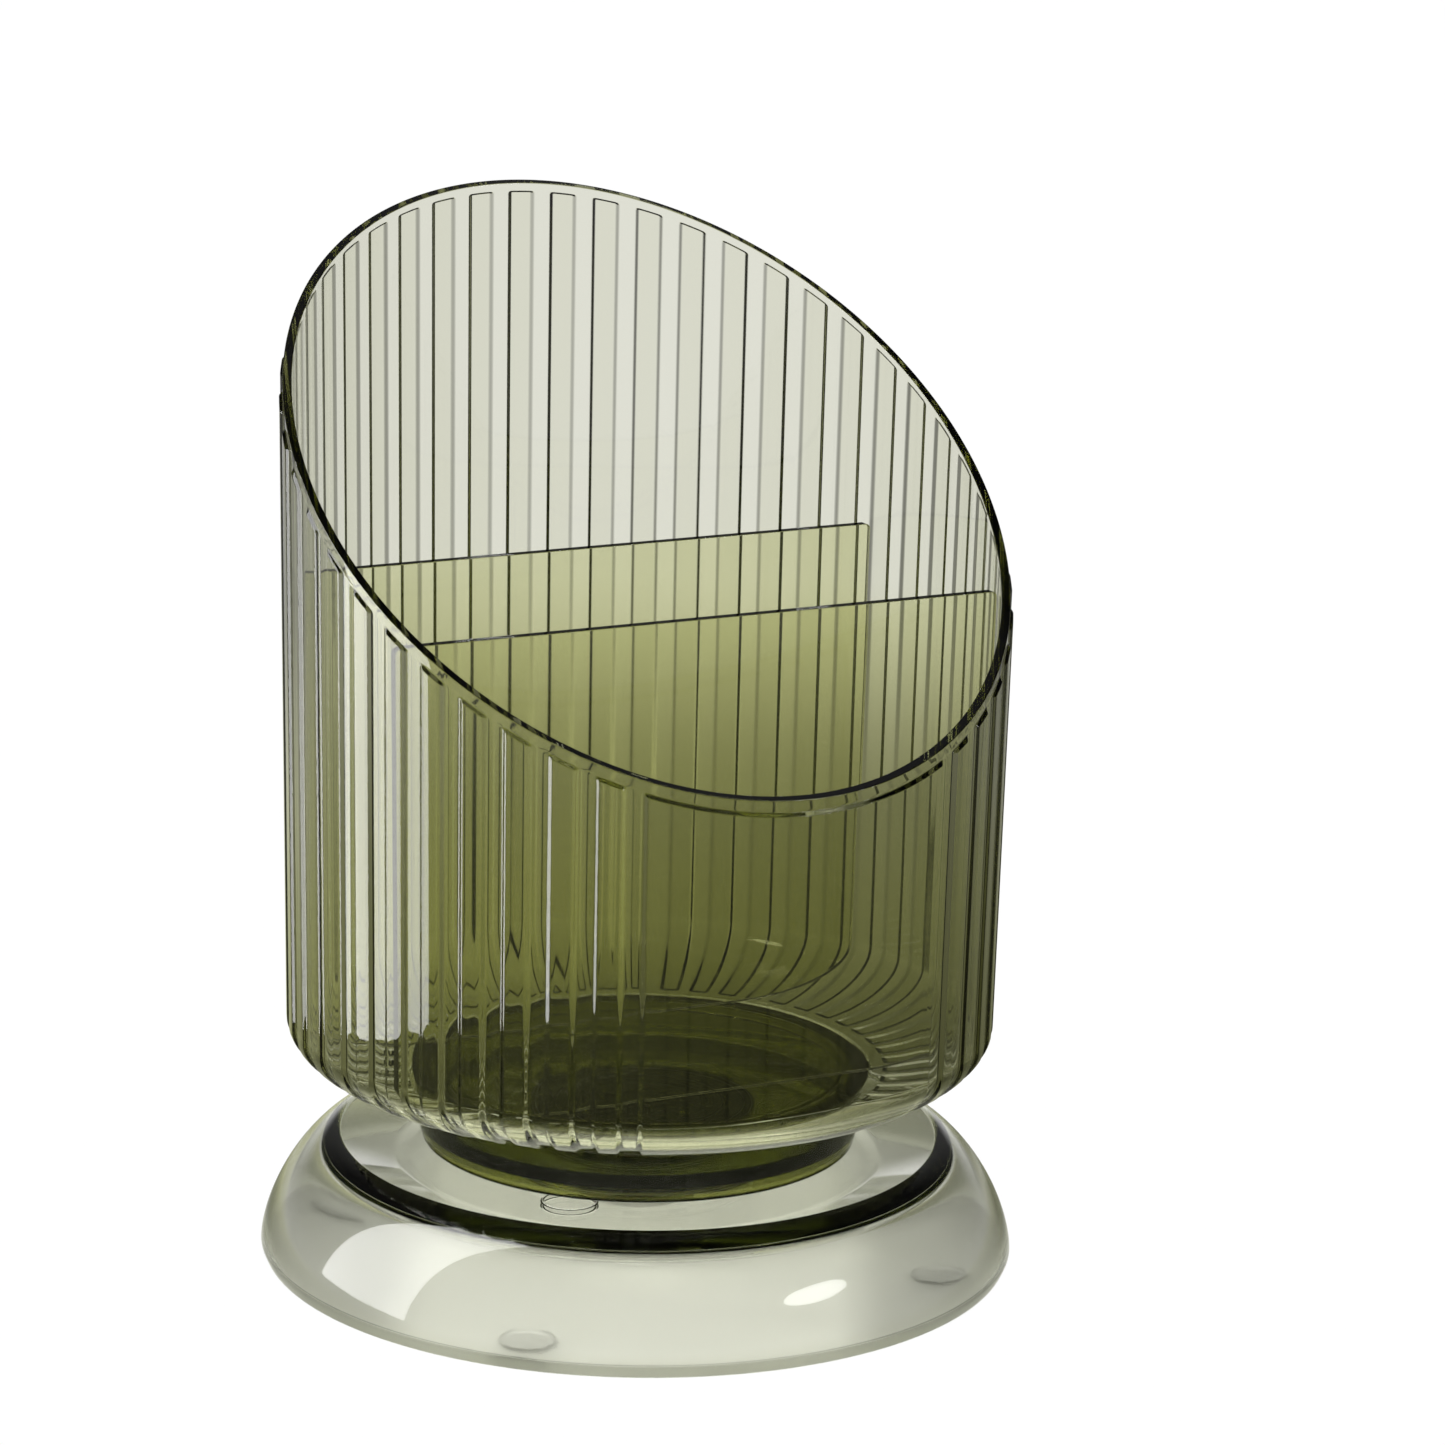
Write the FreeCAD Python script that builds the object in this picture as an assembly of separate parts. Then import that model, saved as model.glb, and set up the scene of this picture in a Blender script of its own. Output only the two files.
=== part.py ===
"""Rotating pen holder: a slanted, ribbed clear cup that turns on a round domed base.

Frame: +Z up, origin at the centre of the resting plane, low side of the cup towards -Y.
All sizes are in millimetres. Every physical piece is written as its own STEP file.
"""
import FreeCAD
import Part
import math
import os

V = FreeCAD.Vector
UP = V(0, 0, 1)
ORIGIN = V(0, 0, 0)

# ---- base ----------------------------------------------------------------------------------
base_r = 55.0            # largest radius of the dome
foot_proud = 0.8         # height of the base's underside above the table
dome_low_z = 2.0         # height of the largest radius
crest_r = 43.5           # radius of the dome's crest
crest_z = 18.3           # height of the crest
dome_power = 1.55        # exponent of the dome's side, 2 is an ellipse
base_wall = 3.0          # wall of the base shell at its crest and deck
foot_wall = 1.2          # and at its widest, above the cover
crest_shift = 1.5        # the crest's underside lies further out than its top
deck_r = 34.8            # outer radius of the flat deck inside the crest
deck_z = 14.8            # top of the deck
lip = 1.0                # rim left outside the bottom cover
cover_thick = 1.6        # bottom cover
cover_gap = 0.1          # bottom cover to rim, radial

# ---- feet ----------------------------------------------------------------------------------
pad_count = 4
pad_r = 4.0
pad_circle_r = 46.0
pad_pocket = 0.5         # depth of each pad's pocket in the cover

# ---- turntable -----------------------------------------------------------------------------
post_r = 6.0             # post of the hub, the pivot
running_fit = 0.08       # radial clearance of the post in the base
boss_wall = 3.0          # wall round the post's bearing hole
boss_low_z = 9.0         # lower end of the boss
collar_wall = 3.3        # collars round the post that centre the two races
collar_high = 0.8
race_thick = 1.0
race_wide = 7.5          # radial width of each race
race_fit = 0.1           # race to collar, radial
ball_r = 1.5
ball_count = 12
ball_slack = 0.1         # ball to the flat of each race
groove_extra = 0.2       # race groove radius over ball radius
cage_thick = 1.6
cage_edge = 1.35         # cage width outside a pocket, each side
pocket_gap = 0.15        # ball to pocket, radial
slip_thick = 1.0         # nylon washer under the boss
axial_play = 0.1         # lift play of the cup on the base
keeper_thick = 1.0       # steel washer under the post
keeper_r = 8.5
screw_r = 2.0
screw_grip = 9.0         # length of the screw in the post
screw_head_r = 3.8
screw_head_high = 2.2
recess_wide = 1.0        # cross recess of the screw
recess_long = 4.4
recess_deep = 1.2

# ---- hub -----------------------------------------------------------------------------------
hub_low_r = 32.0         # outside of the hub's skirt at its lower end
hub_top_r = 33.0         # and where it meets the cup
hub_low_z = 18.0         # lower end of the skirt
hub_wall = 1.8
hub_web = 2.0            # floor of the hub, which carries the upper race
hub_step = 0.35          # small step round the skirt's lower end
hub_step_high = 1.2

# ---- cup -----------------------------------------------------------------------------------
cup_low_z = 27.5         # underside of the cup
cup_r = 52.4             # outside radius over the ribs at the slant's middle height
cup_mid_z = 115.7        # height of the rim's plane on the axis
rim_slope = 0.667        # rise of the rim towards +Y
draft = 0.013            # growth of the radius per millimetre of height
cup_wall = 1.8           # wall under a rib
corner_high = 8.8        # height of the elliptical bottom corner
rib_relief = 0.5         # ribs stand this proud of the grooves
rib_count = 42
rib_gap_deg = 2.2        # groove between ribs
window_deg = 53.3        # smooth panel at the low side
rim_band = 1.6           # plain band between the rib tops and the rim
rib_end_r = 35.5         # where the ribs stop on the underside
rib_root = 0.4           # how far a rib is rooted in the wall
ring_wall = 1.6          # centring ring under the cup, inside the hub
ring_high = 1.5
ring_fit = 0.1

# ---- dividers ------------------------------------------------------------------------------
plate_thick = 1.5
plate_fit = 0.1          # plate to cup, all round
front_plate_y = -17.9
front_plate_top = 99.1
rear_plate_y = 19.3
rear_plate_top = 101.5
plate_corner_r = 0.8

# ---- worked out from the sizes above -------------------------------------------------------
hole_r = post_r + running_fit
collar_r = hole_r + collar_wall
race_in_r = collar_r + race_fit
race_out_r = race_in_r + race_wide
pitch_r = (race_in_r + race_out_r) / 2
lower_race_z = deck_z
ball_z = lower_race_z + race_thick + ball_slack + ball_r
upper_race_z = ball_z + ball_r + ball_slack
web_z = upper_race_z + race_thick
boss_r = hole_r + boss_wall
slip_z = boss_low_z - slip_thick
post_low_z = slip_z - axial_play
keeper_z = post_low_z - keeper_thick
slant_top_z = cup_mid_z + rim_slope * (cup_r + 10)
EPS = 1e-6


def line(a, b):
    """Straight edge between two (radius, height) points in the XZ plane."""
    return Part.LineSegment(V(a[0], 0, a[1]), V(b[0], 0, b[1])).toShape()


def outline(points):
    """Closed face in the XZ plane from (radius, height) corners."""
    wire = Part.makePolygon([V(r, 0, z) for r, z in points + points[:1]])
    return Part.Face(wire)


def lathe(face, degrees=360.0):
    """Solid of revolution of an XZ face about the vertical axis."""
    return face.revolve(ORIGIN, UP, degrees)


def ring(r_in, r_out, z_low, z_high):
    """Flat ring, or a disc when the inner radius is zero."""
    return lathe(outline([(r_in, z_low), (r_out, z_low), (r_out, z_high), (r_in, z_high)]))


def corner_arc(centre, half_wide, half_high, start_r):
    """Lower outer quarter of an upright ellipse, from start_r out to its widest point."""
    share = max(0.0, min(1.0, (start_r - centre[0]) / half_wide))
    angles = [math.asin(share) + (math.pi / 2 - math.asin(share)) * i / 12 for i in range(13)]
    points = [V(centre[0] + half_wide * math.sin(a), 0, centre[1] - half_high * math.cos(a)) for a in angles]
    curve = Part.BSplineCurve()
    curve.interpolate(points)
    return curve.toShape(), points[0], points[-1]


def wall_r(z, inset):
    """Radius of the cup's wall at height z, inset from the rib faces."""
    return cup_r + draft * (z - cup_mid_z) - inset


def cup_edges(inset, start_r, top_z):
    """Edges of the cup's section from the bottom corner up to top_z, inset from the rib faces."""
    corner_z = cup_low_z + corner_high
    half_wide = wall_r(corner_z, inset) - hub_top_r
    arc, first, last = corner_arc((hub_top_r, corner_z), half_wide, corner_high - inset, start_r)
    top = (wall_r(top_z, inset), top_z)
    return [arc, line((last.x, last.z), top)], (first.x, first.z), top


def cup_body(inset, top_z):
    """Filled solid inside the cup's section at the given inset."""
    edges, start, top = cup_edges(inset, hub_top_r, top_z)
    edges += [line(top, (0, top_z)), line((0, top_z), (0, start[1])), line((0, start[1]), start)]
    return lathe(Part.Face(Part.Wire(Part.__sortEdges__(edges))))


def above_slant(drop):
    """Block that lies above the rim's plane, lowered by drop."""
    reach = cup_r + 20
    low = cup_mid_z - drop - rim_slope * reach
    high = cup_mid_z - drop + rim_slope * reach
    side = [V(-reach, -reach, low), V(-reach, reach, high), V(-reach, reach, high + 80)]
    side += [V(-reach, -reach, high + 80), V(-reach, -reach, low)]
    return Part.Face(Part.makePolygon(side)).extrude(V(2 * reach, 0, 0))


def rib(start_deg, wide_deg):
    """One raised rib from the underside, round the corner and up the wall."""
    outer, o_start, o_top = cup_edges(0, rib_end_r, slant_top_z)
    inner, i_start, i_top = cup_edges(rib_relief + rib_root, rib_end_r, slant_top_z)
    edges = outer + [line(o_top, i_top)] + inner + [line(i_start, o_start)]
    solid = lathe(Part.Face(Part.Wire(Part.__sortEdges__(edges))), wide_deg)
    solid.rotate(ORIGIN, UP, start_deg)
    return solid


def pen_cup():
    """Cup with its slanted rim, outer ribs, smooth front window and centring ring."""
    shell = cup_body(rib_relief, slant_top_z).fuse(ring(0, hub_top_r, cup_low_z, cup_low_z + cup_wall))
    shell = shell.cut(cup_body(cup_wall, slant_top_z + 1)).cut(above_slant(0))
    pitch = (360 - window_deg - rib_gap_deg) / rib_count
    first = -90 + window_deg / 2 + rib_gap_deg
    raised = [rib(-90 - window_deg / 2, window_deg)]
    raised += [rib(first + i * pitch, pitch - rib_gap_deg) for i in range(rib_count)]
    trim = above_slant(rim_band)
    shell = shell.fuse([piece.cut(trim) for piece in raised])
    hub_in_r = hub_top_r - hub_wall
    spigot = ring(hub_in_r - ring_fit - ring_wall, hub_in_r - ring_fit, cup_low_z - ring_high, cup_low_z + EPS)
    return shell.fuse(spigot).removeSplitter()


def divider(y_mid, top_z):
    """Upright plate across the cup, its ends and lower corners following the cup's inside."""
    room = cup_body(cup_wall + plate_fit, top_z + 1)
    far_y = abs(y_mid) + plate_thick / 2
    half = math.sqrt(wall_r(top_z, cup_wall + plate_fit) ** 2 - far_y ** 2)
    r = plate_corner_r
    bend = r * (1 - math.sqrt(0.5))
    y0 = y_mid - plate_thick / 2
    corners = [V(-half, y0, 0), V(-half, y0, top_z - r), V(-half + r, y0, top_z)]
    corners += [V(half - r, y0, top_z), V(half, y0, top_z - r), V(half, y0, 0)]
    left = Part.Arc(corners[1], V(-half + bend, y0, top_z - bend), corners[2]).toShape()
    right = Part.Arc(corners[3], V(half - bend, y0, top_z - bend), corners[4]).toShape()
    straight = [Part.LineSegment(corners[a], corners[b]).toShape() for a, b in ((0, 1), (2, 3), (4, 5), (5, 0))]
    wire = Part.Wire(Part.__sortEdges__(straight + [left, right]))
    return Part.Face(wire).extrude(V(0, plate_thick, 0)).common(room)


def turntable_hub():
    """Round neck under the cup: skirt, web, pivot post and race collar in one moulding."""
    step_z = hub_low_z + hub_step_high
    low_in = hub_low_r - hub_wall
    top_in = hub_top_r - hub_wall
    skirt = outline([
        (low_in, hub_low_z), (hub_low_r - hub_step, hub_low_z), (hub_low_r - hub_step, step_z),
        (hub_low_r, step_z), (hub_top_r, cup_low_z), (top_in, cup_low_z),
        (top_in, cup_low_z - ring_high - ring_fit), (low_in, web_z + hub_web)])
    web = ring(0, low_in + hub_wall / 2, web_z, web_z + hub_web)
    collar = ring(0, collar_r, web_z - collar_high, web_z + EPS)
    post = ring(0, post_r, post_low_z, web_z + EPS)
    pilot = ring(0, screw_r, post_low_z - 1, post_low_z + screw_grip)
    return lathe(skirt).fuse([web, collar, post]).cut(pilot).removeSplitter()


def race(z_low):
    """Hardened ring with a shallow ball groove, centred on a collar."""
    groove = Part.makeTorus(pitch_r, ball_r + groove_extra, V(0, 0, ball_z), UP)
    return ring(race_in_r, race_out_r, z_low, z_low + race_thick).cut(groove)


def around(count, radius, z, start_deg=0.0):
    """Evenly spaced points on a circle."""
    turns = [math.radians(start_deg + 360.0 * i / count) for i in range(count)]
    return [V(radius * math.cos(t), radius * math.sin(t), z) for t in turns]


def ball_cage():
    """Flat ring with one round pocket for each ball."""
    hole_size = ball_r + pocket_gap
    half = hole_size + cage_edge
    low = ball_z - cage_thick / 2
    body = ring(pitch_r - half, pitch_r + half, low, low + cage_thick)
    holes = [Part.makeCylinder(hole_size, cage_thick + 2, p) for p in around(ball_count, pitch_r, low - 1)]
    return body.cut(holes)


def dome_curve(wide_r, low_z, top_r, top_z):
    """Side of the dome from its widest point at low_z up to its crest."""
    wide = wide_r - top_r
    high = top_z - low_z
    power = 2 / dome_power
    turns = [math.pi / 2 * i / 10 for i in range(10)]
    points = [V(top_r + wide * math.cos(t) ** power, 0, low_z + high * math.sin(t) ** power) for t in turns]
    points.append(V(top_r, 0, top_z))
    curve = Part.BSplineCurve()
    curve.interpolate(points)
    return curve.toShape(), points[0], points[-1]


def base_shell():
    """Hollow dome with its crest, the sunk deck and the boss that carries the post."""
    seat_r = base_r - lip
    seat_z = foot_proud + cover_thick
    outer, o_low, o_top = dome_curve(base_r, dome_low_z, crest_r, crest_z)
    inner, i_low, i_top = dome_curve(base_r - foot_wall, seat_z, crest_r + crest_shift, crest_z - base_wall)
    deck_low = deck_z - base_wall
    edges = [
        line((seat_r, foot_proud), (base_r - lip / 2, foot_proud)),
        line((base_r - lip / 2, foot_proud), (o_low.x, o_low.z)),
        outer,
        line((o_top.x, o_top.z), (deck_r, deck_z)),
        line((deck_r, deck_z), (collar_r, deck_z)),
        line((collar_r, deck_z), (collar_r, deck_z + collar_high)),
        line((collar_r, deck_z + collar_high), (hole_r, deck_z + collar_high)),
        line((hole_r, deck_z + collar_high), (hole_r, boss_low_z)),
        line((hole_r, boss_low_z), (boss_r, boss_low_z)),
        line((boss_r, boss_low_z), (boss_r, deck_low)),
        line((boss_r, deck_low), (deck_r, deck_low)),
        line((deck_r, deck_low), (i_top.x, i_top.z)),
        inner,
        line((i_low.x, i_low.z), (seat_r, seat_z)),
        line((seat_r, seat_z), (seat_r, foot_proud)),
    ]
    return lathe(Part.Face(Part.Wire(edges)))


def bottom_cover():
    """Disc that closes the underside, with a shallow pocket for each foot pad."""
    disc = ring(0, base_r - lip - cover_gap, foot_proud, foot_proud + cover_thick)
    pockets = [Part.makeCylinder(pad_r, pad_pocket + 1, p)
               for p in around(pad_count, pad_circle_r, foot_proud - 1, 45)]
    return disc.cut(pockets)


def foot_pads():
    """The non-slip pads, one solid each."""
    height = foot_proud + pad_pocket
    return [Part.makeCylinder(pad_r, height, p) for p in around(pad_count, pad_circle_r, 0, 45)]


def centre_screw():
    """Pan-head screw that holds the keeper washer on the post."""
    head_z = keeper_z - screw_head_high
    head = ring(0, screw_head_r, head_z, keeper_z)
    rim = [e for e in head.Edges if abs(e.BoundBox.ZMax - head_z) < EPS and e.Length > screw_head_r]
    head = head.makeFillet(screw_head_high * 0.6, rim)
    shank = ring(0, screw_r, keeper_z - EPS, post_low_z + screw_grip)
    half = recess_wide / 2
    slot = Part.makeBox(recess_wide, recess_long, recess_deep, V(-half, -recess_long / 2, head_z))
    cross = Part.makeBox(recess_long, recess_wide, recess_deep, V(-recess_long / 2, -half, head_z))
    return head.fuse(shank).cut([slot, cross]).removeSplitter()


def build():
    """All pieces by node name."""
    pieces = {
        "pen_cup": pen_cup(),
        "front_divider": divider(front_plate_y, front_plate_top),
        "rear_divider": divider(rear_plate_y, rear_plate_top),
        "turntable_hub": turntable_hub(),
        "upper_race": race(upper_race_z),
        "lower_race": race(lower_race_z),
        "ball_cage": ball_cage(),
        "slip_washer": ring(hole_r, boss_r, slip_z, boss_low_z),
        "keeper_washer": ring(screw_r, keeper_r, keeper_z, post_low_z),
        "centre_screw": centre_screw(),
        "base_shell": base_shell(),
        "bottom_cover": bottom_cover(),
    }
    for i, point in enumerate(around(ball_count, pitch_r, ball_z), 1):
        pieces[f"bearing_ball_{i:02d}"] = Part.makeSphere(ball_r, point)
    for i, pad in enumerate(foot_pads(), 1):
        pieces[f"foot_pad_{i}"] = pad
    return pieces


def main():
    """Write one STEP file per piece."""
    os.makedirs("parts", exist_ok=True)
    for name, shape in build().items():
        if not shape.isValid() or not shape.Solids:
            raise ValueError(f"{name} is not a valid solid")
        shape.exportStep(f"parts/{name}.step")
        print(f"{name}: {len(shape.Solids)} solid, {shape.Volume:.0f} mm3")


main()
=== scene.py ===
"""Looks of the rotating pen holder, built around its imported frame.

The cup, its divider plates, the neck, the domed base, the cover and the pads are remade as fine
meshes in clear tinted plastic. The turntable's steel and nylon pieces keep their own solids and get
their finishes here. All lengths are in metres.
"""
import logging
import math
from collections.abc import Callable
from dataclasses import dataclass
from enum import Enum

import bmesh
import bpy
import numpy as np
from mathutils import Matrix, Vector


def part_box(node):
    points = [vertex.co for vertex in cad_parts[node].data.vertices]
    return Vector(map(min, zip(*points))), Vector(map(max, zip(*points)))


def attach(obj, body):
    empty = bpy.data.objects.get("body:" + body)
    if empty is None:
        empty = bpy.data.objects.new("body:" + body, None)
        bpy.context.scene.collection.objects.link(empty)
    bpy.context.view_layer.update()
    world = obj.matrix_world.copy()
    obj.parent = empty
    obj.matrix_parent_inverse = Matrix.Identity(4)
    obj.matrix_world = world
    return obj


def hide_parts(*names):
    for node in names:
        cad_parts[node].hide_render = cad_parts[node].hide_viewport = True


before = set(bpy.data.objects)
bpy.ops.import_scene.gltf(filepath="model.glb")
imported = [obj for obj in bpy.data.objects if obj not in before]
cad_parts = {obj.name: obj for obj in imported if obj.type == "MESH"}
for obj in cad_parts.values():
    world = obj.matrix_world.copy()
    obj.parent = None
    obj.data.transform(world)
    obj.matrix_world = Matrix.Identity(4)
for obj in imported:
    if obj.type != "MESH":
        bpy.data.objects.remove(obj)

LOG = logging.getLogger("pen_holder")
MM = 0.001
TOUCH_GAP = 0.03 * MM       # keeps the faces of two bonded clear pieces out of one plane
WELD = 0.0002 * MM          # points closer than this are one
TREE_WELD = 0.001 * MM      # and in what a geometry tree joins
ON_AXIS = 1e-9
ROUND_SHARE = 0.49          # a corner's round takes less than half of each side
Point = tuple[float, float]
Triple = tuple[float, float, float]
Colour = tuple[float, float, float]
Socket = bpy.types.NodeSocket
Given = bpy.types.bpy_prop_collection


class Body(Enum):
    """The bodies that the pieces ride on."""

    BASE = "base"
    CUP = "cup"
    CAGE = "cage"


class TreeKind(Enum):
    """The two kinds of node group."""

    SHADER = "ShaderNodeTree"
    GEOMETRY = "GeometryNodeTree"


# ---- node helpers -----------------------------------------------------------------------------

class NodeMaker:
    """Adds and joins nodes in one node tree, of either kind."""

    def __init__(self, tree: bpy.types.NodeTree) -> None:
        """Keeps the tree that the nodes go in."""
        self.tree = tree

    def add(self, kind: str, feeds: dict | None = None, **settings: object) -> bpy.types.Node:
        """Adds a node.

        Args:
            kind: The node's type name.
            feeds: A socket or a plain value for each input, by the input's name or number.
            settings: Properties to set on the node.

        Returns:
            The new node.
        """
        node = self.tree.nodes.new(kind)
        for name, value in settings.items():
            setattr(node, name, value)
        self.feed_all(node, feeds or {})
        return node

    def feed(self, value: object, into: Socket) -> None:
        """Links a socket, or sets a plain value.

        Args:
            value: The socket or the value.
            into: The input that takes it.
        """
        if isinstance(value, Socket):
            self.tree.links.new(value, into)
        else:
            into.default_value = value

    def feed_all(self, node: bpy.types.Node, feeds: dict) -> None:
        """Feeds several inputs of one node."""
        for name, value in feeds.items():
            self.feed(value, node.inputs[name])

    def math(self, operation: str, a: object, b: object = 0.0) -> Socket:
        """One arithmetic step.

        Args:
            operation: The Math node's operation.
            a: First value or socket.
            b: Second value or socket.

        Returns:
            The result's socket.
        """
        return self.add("ShaderNodeMath", {0: a, 1: b}, operation=operation).outputs[0]

    def vector(self, operation: str, a: object, b: object = (0.0, 0.0, 0.0)) -> bpy.types.Node:
        """One step of vector arithmetic."""
        return self.add("ShaderNodeVectorMath", {0: a, 1: b}, operation=operation)

    def upright(self, z: object) -> Socket:
        """A vector along the vertical axis, as a lift or as a turn about it."""
        return self.add("ShaderNodeCombineXYZ", {2: z}).outputs[0]

    def object_place(self) -> Socket:
        """The point's place on its own object."""
        return self.add("ShaderNodeTexCoord").outputs["Object"]

    def ramp(self, value: Socket, span: float, stops: tuple) -> Socket:
        """Looks a value up along a line of stops.

        Args:
            value: The value, from 0 to span.
            span: Where the line ends.
            stops: (value, colour or grey level) in rising order, from 0 to span.

        Returns:
            The colour's socket.
        """
        node = self.add("ShaderNodeValToRGB", {0: self.math("DIVIDE", value, span)})
        elements = node.color_ramp.elements
        elements[0].position, elements[1].position = 0.0, 1.0
        colours = [(*(level if isinstance(level, tuple) else (level,) * 3), 1) for _, level in stops]
        elements[0].color, elements[1].color = colours[0], colours[-1]
        for (where, _), colour in list(zip(stops, colours))[1:-1]:
            elements.new(where / span).color = colour
        return node.outputs[0]

    def white_to_look_at(self, kind: str, glow: Socket, strength: object = 1.0) -> Socket:
        """A shader that is white where the camera sees it, and its own brightness for all else.

        Args:
            kind: Node type of the glowing shader.
            glow: Its colour for reflections and for what shines through.
            strength: Brightness of the white.

        Returns:
            The mixed shader's socket.
        """
        seen = self.add(kind, {"Color": (1, 1, 1, 1), "Strength": strength})
        lit = self.add(kind, {"Color": glow})
        looked_at = self.add("ShaderNodeLightPath").outputs["Is Camera Ray"]
        mix = self.add("ShaderNodeMixShader", {0: looked_at, 1: lit.outputs[0], 2: seen.outputs[0]})
        return mix.outputs[0]


def new_group(name: str, kind: TreeKind, inputs: dict[str, str],
              outputs: dict[str, str]) -> tuple[bpy.types.NodeTree, NodeMaker, Given, Given]:
    """An empty node group with its named sockets.

    Args:
        name: The group's name.
        kind: What it is for.
        inputs: Input names and their socket types.
        outputs: Output names and their socket types.

    Returns:
        The group, its node maker, the sockets that give its inputs and those that take its outputs.
    """
    tree = bpy.data.node_groups.new(name, kind.value)
    for side, sockets in (("INPUT", inputs), ("OUTPUT", outputs)):
        for label, sort in sockets.items():
            tree.interface.new_socket(label, in_out=side, socket_type="NodeSocket" + sort)
    make = NodeMaker(tree)
    return tree, make, make.add("NodeGroupInput").outputs, make.add("NodeGroupOutput").inputs


def run_tree(piece: bpy.types.Object, tree: bpy.types.NodeTree,
             values: dict[str, object]) -> bpy.types.Object:
    """Runs a geometry tree on a piece and keeps the result as a plain mesh.

    Args:
        piece: The object that the tree starts from. It is removed.
        tree: The geometry tree.
        values: Input names and their values.

    Returns:
        A new object of the same name, with no modifier.
    """
    modifier = piece.modifiers.new(tree.name, "NODES")
    modifier.node_group = tree
    for item in tree.interface.items_tree:
        if item.item_type == "SOCKET" and item.in_out == "INPUT" and item.name in values:
            modifier[item.identifier] = values[item.name]
    bpy.context.view_layer.update()
    evaluated = piece.evaluated_get(bpy.context.evaluated_depsgraph_get())
    mesh = bpy.data.meshes.new_from_object(evaluated)
    name = piece.name
    old = piece.data
    bpy.data.objects.remove(piece)
    bpy.data.meshes.remove(old)
    mesh.name = name
    done = bpy.data.objects.new(name, mesh)
    bpy.context.scene.collection.objects.link(done)
    return done


def coated(make: NodeMaker, mesh: Socket, given: Given, result: Given) -> None:
    """Ends a geometry tree: gives the mesh its material and puts it out."""
    coat = make.add("GeometryNodeSetMaterial", {"Geometry": mesh, "Material": given["Material"]})
    make.feed(coat.outputs[0], result["Geometry"])


def ring_tree(name: str, sizes: dict[str, str],
              shape: Callable[[NodeMaker, Given], Socket]) -> bpy.types.NodeTree:
    """Repeats one shape round the vertical axis.

    Args:
        name: The tree's name.
        sizes: Inputs that only this shape needs, and their socket types.
        shape: Adds the shape's own nodes and returns its mesh.

    Returns:
        The geometry tree.
    """
    inputs = {"Geometry": "Geometry", "Count": "Int", "Ring Radius": "Float", "Ring Height": "Float",
              "First Turn": "Float", "Material": "Material"} | sizes
    tree, make, given, result = new_group(name, TreeKind.GEOMETRY, inputs, {"Geometry": "Geometry"})
    ring = make.add("GeometryNodeMeshCircle", {"Vertices": given["Count"], "Radius": given["Ring Radius"]})
    seats = make.add("GeometryNodeTransform", {
        "Geometry": ring.outputs[0], "Translation": make.upright(given["Ring Height"]),
        "Rotation": make.upright(given["First Turn"])})
    copies = make.add("GeometryNodeInstanceOnPoints", {
        "Points": seats.outputs[0], "Instance": shape(make, given)})
    real = make.add("GeometryNodeRealizeInstances", {0: copies.outputs[0]})
    coated(make, real.outputs[0], given, result)
    return tree


# ---- mesh helpers -----------------------------------------------------------------------------

def mesh_object(name: str, points: list[Triple], faces: list[tuple]) -> bpy.types.Object:
    """A linked object from corner points and faces.

    Args:
        name: The object's name.
        points: Its corner points.
        faces: Each face's points, by their numbers.

    Returns:
        The object.
    """
    mesh = bpy.data.meshes.new(name)
    mesh.from_pydata(points, [], faces)
    mesh.update()
    made = bpy.data.objects.new(name, mesh)
    bpy.context.scene.collection.objects.link(made)
    return made


def close_up(piece: bpy.types.Object, weld: float = WELD) -> None:
    """Welds doubled points, turns the faces outwards and smooths by face size.

    Args:
        piece: A closed mesh.
        weld: Distance within which points are one.
    """
    work = bmesh.new()
    work.from_mesh(piece.data)
    bmesh.ops.remove_doubles(work, verts=work.verts, dist=weld)
    bmesh.ops.dissolve_degenerate(work, edges=work.edges, dist=weld)
    bmesh.ops.recalc_face_normals(work, faces=work.faces)
    open_edges = sum(not e.is_manifold for e in work.edges)
    for face in work.faces:
        face.smooth = True
    work.to_mesh(piece.data)
    work.free()
    if open_edges:
        LOG.warning("%s has %d open edges", piece.name, open_edges)
    weigh_normals(piece)


def weigh_normals(piece: bpy.types.Object) -> None:
    """Lets large faces decide the shading, so that flats stay flat between their rounded edges.

    Args:
        piece: The piece to shade.
    """
    mesh = piece.data
    count = len(mesh.vertices)
    areas = np.empty(len(mesh.polygons))
    mesh.polygons.foreach_get("area", areas)
    normals = np.empty(len(mesh.polygons) * 3)
    mesh.polygons.foreach_get("normal", normals)
    normals = normals.reshape(-1, 3)
    corners = np.empty(len(mesh.loops), int)
    mesh.loops.foreach_get("vertex_index", corners)
    owner = np.repeat(np.arange(len(mesh.polygons)), [p.loop_total for p in mesh.polygons])
    total = np.zeros((count, 3))
    np.add.at(total, corners, normals[owner] * areas[owner, None])
    length = np.linalg.norm(total, axis=1, keepdims=True)
    total /= np.where(length > 0, length, 1)
    mesh.normals_split_custom_set_from_vertices(total.tolist())


def rounded(corners: list[Triple], steps: int = 5) -> list[Point]:
    """Rounds the corners of a section.

    Args:
        corners: (radius, height, rounding) at each corner of an open line.
        steps: Points along each round.

    Returns:
        The section's points.
    """
    points: list[Point] = []
    last = len(corners) - 1
    for i, (r, z, size) in enumerate(corners):
        here = Vector((r, z))
        if size <= 0 or i in (0, last):
            points.append((r, z))
            continue
        before = Vector(corners[i - 1][:2]) - here
        after = Vector(corners[i + 1][:2]) - here
        reach = min(size, before.length * ROUND_SHARE, after.length * ROUND_SHARE)
        start = here + before.normalized() * reach
        end = here + after.normalized() * reach
        for k in range(steps + 1):
            t = k / steps
            spot = start * (1 - t) ** 2 + here * 2 * t * (1 - t) + end * t ** 2
            points.append((spot.x, spot.y))
    return points


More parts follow.
